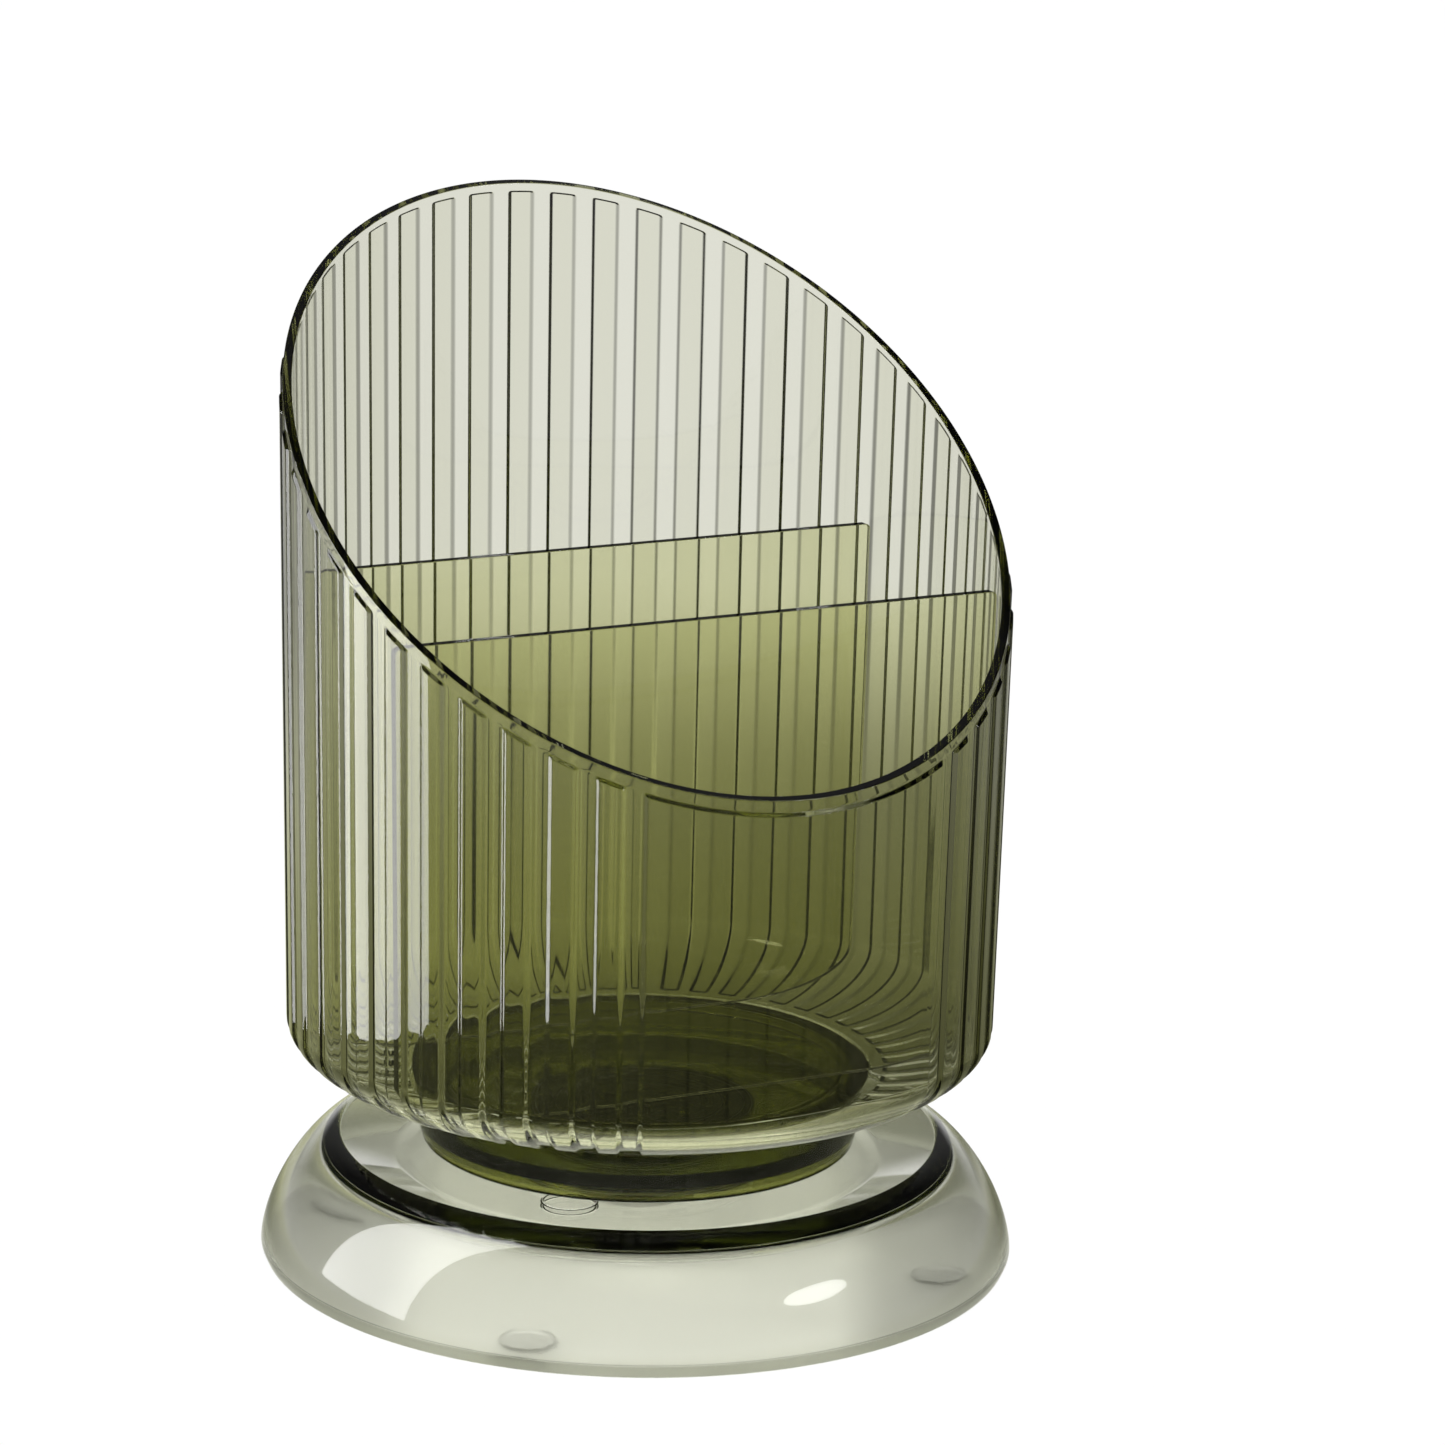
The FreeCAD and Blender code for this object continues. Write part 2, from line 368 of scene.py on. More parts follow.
def turned(name: str, section: list[Point], segments: int = 144) -> bpy.types.Object:
    """A piece turned about the vertical axis from a closed section.

    Args:
        name: The piece's name.
        section: (radius, height) points round the section. Ends on the axis may stay open.
        segments: Faces round the axis.

    Returns:
        The closed piece.
    """
    turns = [2 * math.pi * i / segments for i in range(segments)]
    points = [(r * math.cos(t), r * math.sin(t), z) for t in turns for r, z in section]
    rows = len(section)
    on_axis = section[0][0] < ON_AXIS and section[-1][0] < ON_AXIS
    spans = rows - 1 if on_axis else rows
    faces = []
    for i in range(segments):
        a, b = i * rows, (i + 1) % segments * rows
        for j in range(spans):
            k = (j + 1) % rows
            faces.append((a + j, b + j, b + k, a + k))
    piece = mesh_object(name, points, faces)
    close_up(piece)
    return piece


def smooth_step(t: float) -> float:
    """Eases from 0 to 1."""
    t = min(1.0, max(0.0, t))
    return t * t * (3 - 2 * t)


# ---- finishes ---------------------------------------------------------------------------------

def surface_group(name: str, scales: tuple[str, ...]) -> tuple[bpy.types.NodeTree, NodeMaker, Given, Given]:
    """A group that puts out a Height to bump and a Roughness.

    Args:
        name: The group's name.
        scales: Names of the scales that it takes, besides its lowest and highest roughness.

    Returns:
        What new_group returns.
    """
    inputs = {label: "Float" for label in (*scales, "Low Roughness", "High Roughness")}
    return new_group(name, TreeKind.SHADER, inputs, {"Height": "Float", "Roughness": "Float"})


@dataclass(frozen=True)
class MouldedSurface:
    """Shader group for moulded pieces: slow ripple and handling haze."""

    ripple_detail: float = 1.0
    haze_detail: float = 4.0
    haze_span: Point = (0.42, 0.72)

    def tree(self) -> bpy.types.NodeTree:
        """Builds the group, with a Height to bump and a Roughness.

        Returns:
            The group.
        """
        tree, make, given, result = surface_group("moulded_surface", ("Ripple Scale", "Haze Scale"))
        place = make.object_place()
        ripple = make.add("ShaderNodeTexNoise", {
            "Vector": place, "Scale": given["Ripple Scale"], "Detail": self.ripple_detail})
        haze = make.add("ShaderNodeTexNoise", {
            "Vector": place, "Scale": given["Haze Scale"], "Detail": self.haze_detail})
        spread = make.add("ShaderNodeMapRange", {
            "Value": haze.outputs[0], "From Min": self.haze_span[0], "From Max": self.haze_span[1],
            "To Min": given["Low Roughness"], "To Max": given["High Roughness"]})
        make.feed(ripple.outputs[0], result["Height"])
        make.feed(spread.outputs[0], result["Roughness"])
        return tree


@dataclass(frozen=True)
class TurningMarks:
    """Shader group for turned metal: fine rings round the vertical axis."""

    detail: float = 3.0

    def tree(self) -> bpy.types.NodeTree:
        """Builds the group, with a Height to bump and a Roughness.

        Returns:
            The group.
        """
        tree, make, given, result = surface_group("turning_marks", ("Ring Scale",))
        x, y, z = make.add("ShaderNodeSeparateXYZ", {0: make.object_place()}).outputs
        squares = make.math("ADD", make.math("POWER", x, 2.0), make.math("POWER", y, 2.0))
        spot = make.add("ShaderNodeCombineXYZ", {0: make.math("SQRT", squares), 1: z})
        noise = make.add("ShaderNodeTexNoise", {
            "Vector": spot.outputs[0], "Scale": given["Ring Scale"], "Detail": self.detail})
        spread = make.add("ShaderNodeMapRange", {
            "Value": noise.outputs[0], "To Min": given["Low Roughness"], "To Max": given["High Roughness"]})
        make.feed(noise.outputs[0], result["Height"])
        make.feed(spread.outputs[0], result["Roughness"])
        return tree


@dataclass(frozen=True)
class Groups:
    """The shader groups that several finishes share."""

    moulding: bpy.types.NodeTree
    turning: bpy.types.NodeTree


def new_material(name: str) -> tuple[bpy.types.Material, NodeMaker, bpy.types.Node, bpy.types.Node]:
    """An empty material with its Principled shader.

    Args:
        name: The material's name.

    Returns:
        The material, its node maker, the shader and the output node.
    """
    material = bpy.data.materials.new(name)
    material.use_nodes = True
    material.node_tree.nodes.clear()
    make = NodeMaker(material.node_tree)
    shader = make.add("ShaderNodeBsdfPrincipled")
    output = make.add("ShaderNodeOutputMaterial", {"Surface": shader.outputs[0]})
    return material, make, shader, output


def grained(make: NodeMaker, shader: bpy.types.Node, group: bpy.types.NodeTree, scales: dict[str, float],
            roughness: Point, relief: Point) -> tuple[bpy.types.Node, bpy.types.Node]:
    """Roughens and bumps a shader by one of the shared groups.

    Args:
        make: The material's node maker.
        shader: The shader.
        group: The shared group.
        scales: The group's scales.
        roughness: Lowest and highest roughness.
        relief: Strength and depth of the bump.

    Returns:
        The group's node and the bump's node.
    """
    face = make.add("ShaderNodeGroup", scales | {
        "Low Roughness": roughness[0], "High Roughness": roughness[1]}, node_tree=group)
    bump = make.add("ShaderNodeBump", {
        "Strength": relief[0], "Distance": relief[1], "Height": face.outputs["Height"]})
    make.feed_all(shader, {"Roughness": face.outputs["Roughness"], "Normal": bump.outputs[0]})
    return face, bump


@dataclass(frozen=True)
class EjectorMark:
    """The fine round line that an ejector pin leaves in a moulded face."""

    x: float
    y: float
    radius: float
    line_wide: float = 0.3 * MM
    line_high: float = 0.12 * MM

    def height(self, make: NodeMaker) -> Socket:
        """Adds the line's height, 1 on the line and 0 away from it.

        Args:
            make: The material's node maker.

        Returns:
            The height's socket.
        """
        offset = make.vector("SUBTRACT", make.object_place(), (self.x, self.y, 0))
        flat = make.vector("MULTIPLY", offset.outputs[0], (1, 1, 0))
        away = make.vector("LENGTH", flat.outputs[0])
        off_line = make.math("ABSOLUTE", make.math("SUBTRACT", away.outputs["Value"], self.radius))
        return make.add("ShaderNodeMapRange", {
            "Value": off_line, "From Max": self.line_wide, "To Min": 1.0, "To Max": 0.0},
            interpolation_type="SMOOTHSTEP").outputs[0]


@dataclass(frozen=True)
class ClearPlastic:
    """Clear tinted plastic: glossy faces, and a tint that deepens with the plastic's thickness."""

    name: str
    tint: Colour
    density: float
    index: float = 1.57
    roughness: Point = (0.012, 0.035)
    ripple_scale: float = 60.0
    haze_scale: float = 45.0
    relief: Point = (0.06, 0.1 * MM)
    mark: EjectorMark | None = None

    def make(self, groups: Groups) -> bpy.types.Material:
        """Builds the material from the shared groups.

        Args:
            groups: The shader groups that the finishes share.

        Returns:
            The material.
        """
        material, make, shader, output = new_material(self.name)
        _, bump = grained(make, shader, groups.moulding, {
            "Ripple Scale": self.ripple_scale, "Haze Scale": self.haze_scale}, self.roughness, self.relief)
        if self.mark:
            line = make.add("ShaderNodeBump", {
                "Distance": self.mark.line_high, "Height": self.mark.height(make), "Normal": bump.outputs[0]})
            make.feed(line.outputs[0], shader.inputs["Normal"])
        make.feed_all(shader, {"Base Color": (1, 1, 1, 1), "IOR": self.index, "Transmission Weight": 1.0})
        depth = make.add("ShaderNodeVolumeAbsorption", {"Color": (*self.tint, 1), "Density": self.density})
        make.feed(depth.outputs[0], output.inputs["Volume"])
        return material


@dataclass(frozen=True)
class TurnedMetal:
    """Ground or plated steel with fine turning marks."""

    name: str
    colour: Colour
    roughness: Point = (0.18, 0.34)
    ring_scale: float = 2600.0
    relief: Point = (0.25, 0.02 * MM)

    def make(self, groups: Groups) -> bpy.types.Material:
        """Builds the material from the shared groups.

        Args:
            groups: The shader groups that the finishes share.

        Returns:
            The material.
        """
        material, make, shader, _ = new_material(self.name)
        grained(make, shader, groups.turning, {"Ring Scale": self.ring_scale}, self.roughness, self.relief)
        make.feed_all(shader, {"Base Color": (*self.colour, 1), "Metallic": 1.0})
        return material


@dataclass(frozen=True)
class Nylon:
    """Natural nylon: slightly waxy, with a fine moulded grain and uneven colour."""

    name: str
    light: Colour
    dark: Colour
    roughness: Point = (0.38, 0.55)
    grain_scale: float = 900.0
    haze_scale: float = 180.0
    relief: Point = (0.2, 0.05 * MM)
    subsurface: Point = (0.15, 1.0 * MM)

    def make(self, groups: Groups) -> bpy.types.Material:
        """Builds the material from the shared groups.

        Args:
            groups: The shader groups that the finishes share.

        Returns:
            The material.
        """
        material, make, shader, _ = new_material(self.name)
        face, _ = grained(make, shader, groups.moulding, {
            "Ripple Scale": self.grain_scale, "Haze Scale": self.haze_scale}, self.roughness, self.relief)
        shade = make.add("ShaderNodeMix", {
            "Factor": face.outputs["Height"], "A": (*self.light, 1), "B": (*self.dark, 1)}, data_type="RGBA")
        make.feed_all(shader, {
            "Base Color": shade.outputs["Result"], "Subsurface Weight": self.subsurface[0],
            "Subsurface Scale": self.subsurface[1]})
        return material


CUP_PLASTIC = ClearPlastic("olive_clear_cup", (0.52, 0.53, 0.24), 300.0)
PLATE_PLASTIC = ClearPlastic("olive_clear_plate", (0.69, 0.71, 0.10), 330.0)
HUB_PLASTIC = ClearPlastic("olive_clear_hub", (0.58, 0.60, 0.0), 1500.0)
BASE_PLASTIC = ClearPlastic(
    "pale_clear_base", (0.70, 0.72, 0.52), 135.0, roughness=(0.035, 0.07),
    mark=EjectorMark(-18.4 * MM, -15.6 * MM, 3.9 * MM))
COVER_PLASTIC = ClearPlastic(
    "pale_matte_cover", (0.74, 0.76, 0.60), 60.0, roughness=(0.5, 0.62), ripple_scale=900.0)
SILICONE = ClearPlastic(
    "clear_silicone_pad", (0.86, 0.87, 0.80), 60.0, index=1.41, roughness=(0.12, 0.22), ripple_scale=400.0)
RACE_STEEL = TurnedMetal("ground_race_steel", (0.60, 0.60, 0.59))
PLATED_STEEL = TurnedMetal("plated_steel", (0.70, 0.70, 0.69), roughness=(0.25, 0.42), ring_scale=1400.0)
BALL_STEEL = TurnedMetal(
    "bearing_ball_steel", (0.75, 0.75, 0.76), roughness=(0.05, 0.1), relief=(0.03, 0.02 * MM))
NATURAL_NYLON = Nylon("natural_nylon", (0.82, 0.80, 0.73), (0.74, 0.72, 0.64))


def dress(piece: bpy.types.Object, material: bpy.types.Material) -> None:
    """Gives a piece one material on every slot.

    Args:
        piece: The piece.
        material: The material.
    """
    if not piece.data.materials:
        piece.data.materials.append(material)
    for slot in piece.material_slots:
        slot.material = material


def settle(piece: bpy.types.Object, finish: bpy.types.Material, body: Body,
           stands_for: list[str]) -> None:
    """Dresses a piece and joins it to its body and to the nodes it stands for.

    Args:
        piece: The finished piece.
        finish: Its material.
        body: The body that it rides on.
        stands_for: CAD nodes that it replaces.
    """
    dress(piece, finish)
    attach(piece, body.value)
    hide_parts(*stands_for)
    LOG.info("%s rides on %s, %d faces", piece.name, body.value, len(piece.data.polygons))


# ---- cup --------------------------------------------------------------------------------------

@dataclass
class Row:
    """One line of the cup's section, at the groove and at the rib face."""

    groove: Point
    face: Point
    climb: float = 0.0


@dataclass
class PenCup:
    """The ribbed cup with its slanted rim, and the two plates that divide it."""

    low_z: float = 27.5 * MM
    rim_r: float = 52.4 * MM
    rim_mid_z: float = 115.7 * MM
    rim_slope: float = 0.667
    draft: float = 0.013
    wall: float = 1.8 * MM
    corner_high: float = 8.8 * MM
    flat_r: float = 33.0 * MM
    relief: float = 0.5 * MM
    rib_count: int = 42
    gap_deg: float = 2.2
    window_deg: float = 53.3
    rib_end_r: float = 35.5 * MM
    rib_end_long: float = 0.9 * MM
    rib_top_long: float = 0.5 * MM
    band: float = 1.6 * MM
    band_start: float = 0.3 * MM
    edge_wide: float = 1.0 * MM
    edge_steps: int = 6
    rim_round: float = 0.15 * MM
    rim_level: float = 0.55
    ring: Triple = (29.5 * MM, 31.1 * MM, 1.5 * MM)
    ring_rounds: Triple = (0.2 * MM, 0.3 * MM, 0.15 * MM)
    ring_steps: int = 3
    underside_short: float = 0.1 * MM
    underside_shares: Point = (0.35, 0.7)
    floor_shares: Triple = (0.7, 0.3, 0.0)
    wall_shares: tuple[float, ...] = (0.25, 0.5, 0.75, 1.0)
    outer_spans: int = 18
    inner_spans: int = 16
    rib_spans: int = 4
    window_spans: int = 40
    plates: tuple[str, str] = ("front_divider", "rear_divider")
    plate_gap: float = 0.1 * MM
    plate_round: float = 0.1 * MM
    plate_corner_r: float = 0.8 * MM
    plate_turns: tuple[int, ...] = (0, 30, 60, 90)
    plate_spans: int = 14
    plate_wall_spans: int = 3
    plate_corner_spans: int = 6

    def wall_r(self, z: float, inset: float) -> float:
        """Radius of the wall at a height, inset from the rib faces."""
        return self.rim_r + self.draft * (z - self.rim_mid_z) - inset

    def corner(self, inset: float, start_r: float, steps: int = 1) -> list[Point]:
        """The bottom corner as part of an upright ellipse.

        Args:
            inset: Distance inside the rib faces.
            start_r: Radius where it starts.
            steps: Spans along it.

        Returns:
            Points from start_r out to the wall.
        """
        top = self.low_z + self.corner_high
        wide = self.wall_r(top, inset) - self.flat_r
        high = self.corner_high - inset
        start = math.asin(min(1.0, (start_r - self.flat_r) / wide))
        turns = [start + (math.pi / 2 - start) * i / steps for i in range(steps + 1)]
        return [(self.flat_r + wide * math.sin(t), top - high * math.cos(t)) for t in turns]

    def section(self) -> list[Row]:
        """The closed section: under the floor, up the outside, over the rim and back down inside.

        Returns:
            Its rows, in order.
        """
        rows = self.underside_rows() + self.rib_end_rows()
        rib_start = self.rib_end_r + self.rib_end_long
        groove = self.corner(self.relief, rib_start, self.outer_spans)[1:]
        face = self.corner(0, rib_start, self.outer_spans)[1:]
        rows += [Row(a, b) for a, b in zip(groove, face)]
        rows += self.upper_rows()
        top = self.low_z + self.corner_high
        inner = [(self.wall_r(top, self.wall), top)]
        inner += self.corner(self.wall, self.flat_r, self.inner_spans)[-2::-1]
        inner += [(share * self.flat_r, inner[-1][1]) for share in self.floor_shares]
        return rows + [Row(p, p) for p in inner]

    def underside_rows(self) -> list[Row]:
        """The flat underside with its centring ring, out to where the ribs end.

        Returns:
            Rows from the axis outwards.
        """
        ring_in, ring_out, ring_high = self.ring
        inside, lower, outside = self.ring_rounds
        ring_z = self.low_z - ring_high
        below = rounded([
            (0, self.low_z, 0), (ring_in, self.low_z, inside), (ring_in, ring_z, lower),
            (ring_out, ring_z, lower), (ring_out, self.low_z, outside),
            (self.flat_r - self.underside_short, self.low_z, 0)], self.ring_steps)
        plain = self.rib_end_r - self.flat_r
        starts = [self.flat_r + plain * share for share in (0, *self.underside_shares)]
        below += [self.corner(self.relief, r)[0] for r in starts]
        return [Row(p, p) for p in below]

    def rib_end_rows(self) -> list[Row]:
        """The short slope by which each rib rises from the underside.

        Returns:
            Rows from the start of the slope outwards.
        """
        rows = []
        for i in range(self.edge_steps + 1):
            share = i / self.edge_steps
            r = self.rib_end_r + self.rib_end_long * share
            low, high = Vector(self.corner(self.relief, r)[0]), Vector(self.corner(0, r)[0])
            rows.append(Row(tuple(low), tuple(low.lerp(high, smooth_step(share)))))
        return rows

    def upper_rows(self) -> list[Row]:
        """The straight wall, the rib tops, the plain band and the rounded rim, drawn with a level rim.

        Returns:
            Rows from above the bottom corner to just inside the rim.
        """
        start = self.low_z + self.corner_high
        top = self.rim_mid_z
        rib_top = top - self.band
        rows = []
        for share in self.wall_shares:
            z = start + (rib_top - self.rib_top_long - start) * share
            rows.append(Row((self.wall_r(z, self.relief), z), (self.wall_r(z, 0), z), share))
        for i in range(1, self.edge_steps + 1):
            z = rib_top - self.rib_top_long * (1 - i / self.edge_steps)
            inset = self.relief * smooth_step(i / self.edge_steps)
            rows.append(Row((self.wall_r(z, self.relief), z), (self.wall_r(z, inset), z), 1.0))
        outer = self.wall_r(top, self.relief)
        inner = self.wall_r(top, self.wall)
        fall = self.rim_round
        over = rounded([
            (outer, rib_top + self.band_start, 0), (outer, top, fall), (inner, top, fall),
            (inner, top - 2 * fall, 0)])
        return rows + [Row(p, p, 1.0) for p in over]

    def columns(self, span_deg: float, steps: int) -> list[Point]:
        """Angles and rib heights across one raised panel and the groove after it.

        Args:
            span_deg: Width of the raised panel.
            steps: Spans across its face.

        Returns:
            (degrees, height share) from the panel's first edge to the next panel's.
        """
        edge = math.degrees(self.edge_wide / self.rim_r)
        shares = [i / self.edge_steps for i in range(self.edge_steps + 1)]
        rise = [(edge * share, smooth_step(share)) for share in shares]
        face = [(edge + (span_deg - 2 * edge) * i / steps, 1.0) for i in range(1, steps)]
        fall = [(span_deg - x, h) for x, h in reversed(rise)]
        gap = [(span_deg + self.gap_deg / 2, 0.0), (span_deg + self.gap_deg, 0.0)]
        return rise + face + fall + gap

    def sector(self, name: str, span_deg: float, steps: int) -> bpy.types.Object:
        """One panel's strip of the whole wall, inside and out, from the axis to the rim and back.

        Args:
            name: The strip's name.
            span_deg: Width of its raised panel.
            steps: Spans across the panel's face.

        Returns:
            The open strip, with each point's share of the rim's climb.
        """
        rows = self.section()
        columns = self.columns(span_deg, steps)
        points = []
        for degrees, height in columns:
            turn = math.radians(degrees)
            for row in rows:
                r = row.groove[0] + (row.face[0] - row.groove[0]) * height
                z = row.groove[1] + (row.face[1] - row.groove[1]) * height
                points.append((r * math.cos(turn), r * math.sin(turn), z))
        count = len(rows)
        faces = [(i * count + j, (i + 1) * count + j, (i + 1) * count + j + 1, i * count + j + 1)
                 for i in range(len(columns) - 1) for j in range(count - 1)]
        strip = mesh_object(name, points, faces)
        climb = strip.data.attributes.new("climb", "FLOAT", "POINT")
        climb.data.foreach_set("value", [row.climb for row in rows] * len(columns))
        return strip

    def rib_tree(self) -> bpy.types.NodeTree:
        """Repeats the rib strip round the cup, adds the smooth panel and slants the rim.

        Returns:
            The geometry tree.
        """
        tree, make, given, result = new_group("ribbed_cup", TreeKind.GEOMETRY, {
            "Geometry": "Geometry", "Smooth Panel": "Object", "Rib Count": "Int", "Pitch": "Float",
            "First Turn": "Float", "Panel Turn": "Float", "Rim Slope": "Float", "Draft": "Float",
            "Rim Radius": "Float", "Rim Level": "Float", "Weld": "Float", "Material": "Material"},
            {"Geometry": "Geometry"})
        seats = make.add("GeometryNodePoints", {"Count": given["Rib Count"]})
        index = make.add("GeometryNodeInputIndex").outputs[0]
        turn = make.math("ADD", make.math("MULTIPLY", index, given["Pitch"]), given["First Turn"])
        ribs = make.add("GeometryNodeInstanceOnPoints", {
            "Points": seats.outputs[0], "Instance": given["Geometry"], "Rotation": make.upright(turn)})
        panel = make.add("GeometryNodeObjectInfo", {"Object": given["Smooth Panel"]})
        turned_panel = make.add("GeometryNodeTransform", {
            "Geometry": panel.outputs["Geometry"], "Rotation": make.upright(given["Panel Turn"])})
        both = make.add("GeometryNodeJoinGeometry", {0: ribs.outputs[0]})
        make.feed(turned_panel.outputs[0], both.inputs[0])
        real = make.add("GeometryNodeRealizeInstances", {0: both.outputs[0]})
        weld = make.add("GeometryNodeMergeByDistance", {
            "Geometry": real.outputs[0], "Distance": given["Weld"]})
        slant = make.add("GeometryNodeSetPosition", {
            "Geometry": weld.outputs[0], "Position": self.slant_nodes(make, given)})
        coated(make, slant.outputs[0], given, result)
        return tree

    def slant_nodes(self, make: NodeMaker, given: Given) -> Socket:
        """Raises each point by the rim's slope at its place, and widens it by the wall's draft.

        Args:
            make: The tree's node maker.
            given: The group's inputs.

        Returns:
            The new position's socket.
        """
        place = make.add("GeometryNodeInputPosition").outputs[0]
        x, y, z = make.add("ShaderNodeSeparateXYZ", {0: place}).outputs
        climb = make.add("GeometryNodeInputNamedAttribute", {"Name": "climb"}, data_type="FLOAT")
        squares = make.math("ADD", make.math("MULTIPLY", x, x), make.math("MULTIPLY", y, y))
        radius = make.math("MAXIMUM", make.math("SQRT", squares), given["Weld"])
        side = make.math("DIVIDE", y, radius)
        slope_draft = make.math("MULTIPLY", given["Rim Slope"], given["Draft"])
        ease = make.math("SUBTRACT", 1.0, make.math("MULTIPLY", slope_draft, side))
        outside = make.math("SUBTRACT", make.math("DIVIDE", given["Rim Radius"], radius), 1.0)
        level = make.math("ADD", 1.0, make.math("MULTIPLY", outside, given["Rim Level"]))
        full = make.math("MULTIPLY", make.math("MULTIPLY", y, level), given["Rim Slope"])
        rise = make.math("MULTIPLY", make.math("DIVIDE", full, ease), climb.outputs["Attribute"])
        growth = make.math("DIVIDE", make.math("MULTIPLY", rise, given["Draft"]), radius)
        wider = make.math("ADD", 1.0, growth)
        return make.add("ShaderNodeCombineXYZ", {
            0: make.math("MULTIPLY", x, wider), 1: make.math("MULTIPLY", y, wider),
            2: make.math("ADD", z, rise)}).outputs[0]

    def build_cup(self, material: bpy.types.Material) -> bpy.types.Object:
        """The whole cup as one closed mesh.

        Args:
            material: The cup's plastic.

        Returns:
            The cup.
        """
        pitch = (360 - self.window_deg - self.gap_deg) / self.rib_count
        strip = self.sector("pen_cup_wall", pitch - self.gap_deg, self.rib_spans)
        panel = self.sector("smooth_panel", self.window_deg, self.window_spans)
        low_side = -90
        first = low_side + self.window_deg / 2 + self.gap_deg
        cup = run_tree(strip, self.rib_tree(), {
            "Smooth Panel": panel, "Rib Count": self.rib_count, "Pitch": math.radians(pitch),
            "First Turn": math.radians(first), "Panel Turn": math.radians(low_side - self.window_deg / 2),
            "Rim Slope": self.rim_slope, "Draft": self.draft, "Rim Radius": self.rim_r - self.relief,
            "Rim Level": self.rim_level, "Weld": TREE_WELD, "Material": material})
        bpy.data.objects.remove(panel)
        close_up(cup, TREE_WELD)
        return cup

    def plate_outline(self, y: float, top_z: float, inset: float) -> list[Point]:
        """Half outline of a plate, from its foot at the middle out to the cup and up to its top edge.

        Args:
            y: How far its further face stands from the axis.
            top_z: Its top edge.
            inset: How far the outline lies inside the plate's edge.

        Returns:
            (distance from the middle, height) along the outline.
        """
        shy = self.wall + self.plate_gap + inset
        profile = self.corner(shy, self.flat_r, self.plate_spans)
        r = self.plate_corner_r
        shoulder = top_z - inset - r
        start = profile[-1][1]
        for k in range(1, self.plate_wall_spans + 1):
            z = start + (shoulder - start) * k / self.plate_wall_spans
            profile.append((self.wall_r(z, shy), z))
        reach = [(math.sqrt(max(0.0, a * a - y * y)), z) for a, z in profile]
        edge = reach[-1][0]
        spans = self.plate_corner_spans
        turns = [math.pi / 2 * k / spans for k in range(1, spans + 1)]
        return reach + [(edge - r + r * math.cos(t), shoulder + r * math.sin(t)) for t in turns]

    def build_plate(self, name: str) -> bpy.types.Object:
        """One divider plate with softly rounded edges, its ends and lower corners following the cup.

        Args:
            name: The plate's node.

        Returns:
            The plate.
        """
        low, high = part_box(name)
        soft = self.plate_round
        turns = [math.radians(turn) for turn in self.plate_turns]
        layers = [(soft * (1 - math.sin(t)), soft * (1 - math.cos(t))) for t in turns]
        sides = [(low.y + depth, inset) for inset, depth in layers]
        sides += [(high.y - depth, inset) for inset, depth in reversed(layers)]
        far = max(abs(low.y), abs(high.y))
        points: list[Triple] = []
        loops = []
        for y, inset in sides:
            half = self.plate_outline(far, high.z, inset)
            loop = [(x, y, z) for x, z in half] + [(-x, y, z) for x, z in reversed(half)]
            loops.append(range(len(points), len(points) + len(loop)))
            points += loop
        size = len(loops[0])
        faces = [tuple(loops[0]), tuple(reversed(loops[-1]))]
        for a, b in zip(loops, loops[1:]):
            faces += [(a[i], b[i], b[(i + 1) % size], a[(i + 1) % size]) for i in range(size)]
        plate = mesh_object(name + "_plate", points, faces)
        close_up(plate)
        return plate

    def make(self, groups: Groups) -> None:
        """Builds, dresses and settles the cup and its plates.

        Args:
            groups: The shader groups that the finishes share.
        """
        finish = CUP_PLASTIC.make(groups)
        settle(self.build_cup(finish), finish, Body.CUP, ["pen_cup"])
        finish = PLATE_PLASTIC.make(groups)
        for name in self.plates:
            settle(self.build_plate(name), finish, Body.CUP, [name])


# ---- turntable --------------------------------------------------------------------------------

